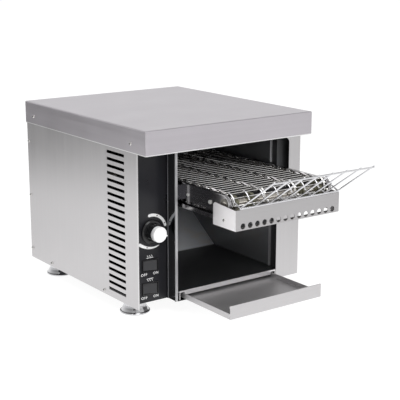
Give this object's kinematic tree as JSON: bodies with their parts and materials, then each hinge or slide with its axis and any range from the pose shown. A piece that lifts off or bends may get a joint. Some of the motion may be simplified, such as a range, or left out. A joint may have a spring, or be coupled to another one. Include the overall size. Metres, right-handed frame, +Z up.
{
  "type": "conveyor toaster",
  "caption": "Countertop conveyor toaster: steel cabinet on feet, wire belt running out past the front, wire feed rack, toast slide, pull-out crumb tray, speed knob and rocker switches.",
  "frame": {"origin": "on the counter, below the middle of the whole part from the rack to the cord gland", "axes": "+Z up, +Y from the front to the back, +X to the right as seen from the front"},
  "size_m": [0.3722, 0.66, 0.3447],
  "materials": {
    "brushed_steel": "satin stainless sheet, brushed along its length",
    "plated_steel": "zinc-plated sheet and bar, dull",
    "dark_steel": "heat-darkened polished steel, glossy and almost black",
    "black_panel": "black satin enamel",
    "belt_wire": "bright stainless wire",
    "chrome_wire": "bright chrome plate",
    "shaft_steel": "turned bright steel",
    "sprocket_iron": "dark olive sintered steel with a film of oil",
    "bush_bronze": "sintered bronze",
    "chain_steel": "dark roller chain steel",
    "motor_paint": "black painted motor shell",
    "fan_plastic": "black matt plastic",
    "black_plastic": "black satin plastic",
    "rocker_plastic": "dark grey satin plastic",
    "white_plastic": "white gloss plastic",
    "control_case": "plated can of a rotary control",
    "quartz_tube": "frosted quartz tube with a coil inside",
    "ceramic": "cream glazed ceramic",
    "screw_steel": "plated steel screw"
  },
  "bodies": {
    "cabinet": {"top_cover": "brushed_steel", "left_side_panel": "brushed_steel", "right_side_panel": "brushed_steel", "back_panel": "brushed_steel", "base_plate": "plated_steel", "front_frame": "brushed_steel", "side_filler": "dark_steel", "divider": "dark_steel", "control_panel": "black_panel", "chamber_wall": "dark_steel", "chamber_roof": "dark_steel", "chute": "dark_steel", "chute_lip": "brushed_steel", "left_rail": "plated_steel", "right_rail": "plated_steel", "rail_brackets": "plated_steel", "tie_bars": "plated_steel", "belt_strips": "plated_steel", "conveyor_guard": "brushed_steel", "feed_rack": "chrome_wire", "belt_top_run": "belt_wire", "belt_bottom_run": "belt_wire", "belt_front_wrap": "belt_wire", "belt_rear_wrap": "belt_wire", "front_bushes": "bush_bronze", "rear_bushes": "bush_bronze", "drive_chain": "chain_steel", "gearmotor": "motor_paint", "motor_bracket": "plated_steel", "fan_frame": "fan_plastic", "speed_control": "control_case", "lower_switch_case": "black_plastic", "upper_switch_case": "black_plastic", "top_elements": "quartz_tube", "low_elements": "quartz_tube", "element_caps": "ceramic", "cord_gland": "black_plastic", "terminal_block": "ceramic", "front_left_foot": "chrome_wire", "rear_left_foot": "chrome_wire", "front_right_foot": "chrome_wire", "rear_right_foot": "chrome_wire", "cover_screws": "screw_steel", "cabinet_screws": "screw_steel", "back_screws": "screw_steel"},
    "speed_knob": {"knob_shaft": "shaft_steel", "knob_body": "black_plastic", "knob_cap": "white_plastic"},
    "lower_rocker": {"lower_rocker": "rocker_plastic"},
    "upper_rocker": {"upper_rocker": "rocker_plastic"},
    "crumb_tray": {"crumb_tray": "brushed_steel"},
    "rear_shaft": {"rear_shaft": "shaft_steel", "rear_sprockets": "sprocket_iron", "drive_sprocket": "chain_steel"},
    "front_shaft": {"front_shaft": "shaft_steel", "front_sprockets": "sprocket_iron"},
    "motor_shaft": {"motor_shaft": "shaft_steel", "motor_sprocket": "chain_steel"},
    "fan_rotor": {"fan_rotor": "fan_plastic"}
  },
  "joints": [
    {"name": "tray_slide", "type": "slide", "parent": "cabinet", "child": "crumb_tray", "axis": [0, -1, 0], "range_m": [-0.135, 0.1]},
    {"name": "speed_knob", "type": "hinge", "parent": "cabinet", "child": "speed_knob", "pos_m": [-0.136, -0.05652, 0.1535], "axis": [0, 1, 0], "range_deg": [-240, 30]},
    {"name": "lower_rocker_tilt", "type": "hinge", "parent": "cabinet", "child": "lower_rocker", "pos_m": [-0.1405, -0.05252, 0.0495], "axis": [0, 0, 1], "range_deg": [0, 24]},
    {"name": "upper_rocker_tilt", "type": "hinge", "parent": "cabinet", "child": "upper_rocker", "pos_m": [-0.1405, -0.05252, 0.0925], "axis": [0, 0, 1], "range_deg": [0, 24]},
    {"name": "rear_shaft_spin", "type": "hinge", "parent": "cabinet", "child": "rear_shaft", "pos_m": [0.01905, 0.19698, 0.22501], "axis": [1, 0, 0], "continuous": true},
    {"name": "front_shaft_spin", "type": "hinge", "parent": "cabinet", "child": "front_shaft", "pos_m": [0.01905, -0.20602, 0.22501], "axis": [1, 0, 0], "continuous": true},
    {"name": "motor_spin", "type": "hinge", "parent": "cabinet", "child": "motor_shaft", "pos_m": [-0.112, 0.19698, 0.12041], "axis": [1, 0, 0], "continuous": true},
    {"name": "fan_spin", "type": "hinge", "parent": "cabinet", "child": "fan_rotor", "pos_m": [-0.13615, 0.31578, 0.1445], "axis": [0, 1, 0], "continuous": true}
  ],
  "couplings": [
    {"joint": "front_shaft_spin", "follows": "rear_shaft_spin", "ratio": 1},
    {"joint": "motor_spin", "follows": "rear_shaft_spin", "ratio": 1.5}
  ]
}
